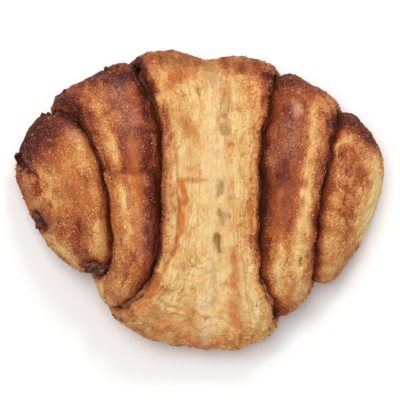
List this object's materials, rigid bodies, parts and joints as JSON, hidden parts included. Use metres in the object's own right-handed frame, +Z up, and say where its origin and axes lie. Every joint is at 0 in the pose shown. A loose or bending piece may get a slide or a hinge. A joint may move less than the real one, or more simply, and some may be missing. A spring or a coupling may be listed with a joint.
{
  "type": "cinnamon bun",
  "caption": "Baked cinnamon bun, rolled from laminated dough and pressed along the middle, so that its turns fan out to both sides as lobes with dark filling in the creases.",
  "frame": {"origin": "on the tray, under the middle of the bun's bounding box", "axes": "+X along the roll, to the right as pictured; +Y to the back, which is the top edge of the picture; +Z up"},
  "size_m": [0.1206, 0.098, 0.0327],
  "materials": {
    "baked_dough": "browned laminated crust, pale on the cut edges, with a thin caramel glaze in places",
    "cinnamon_sugar": "dark, sticky baked cinnamon sugar"
  },
  "bodies": {
    "root": {"dough_roll": "baked_dough", "cinnamon_filling": "cinnamon_sugar"}
  },
  "joints": []
}
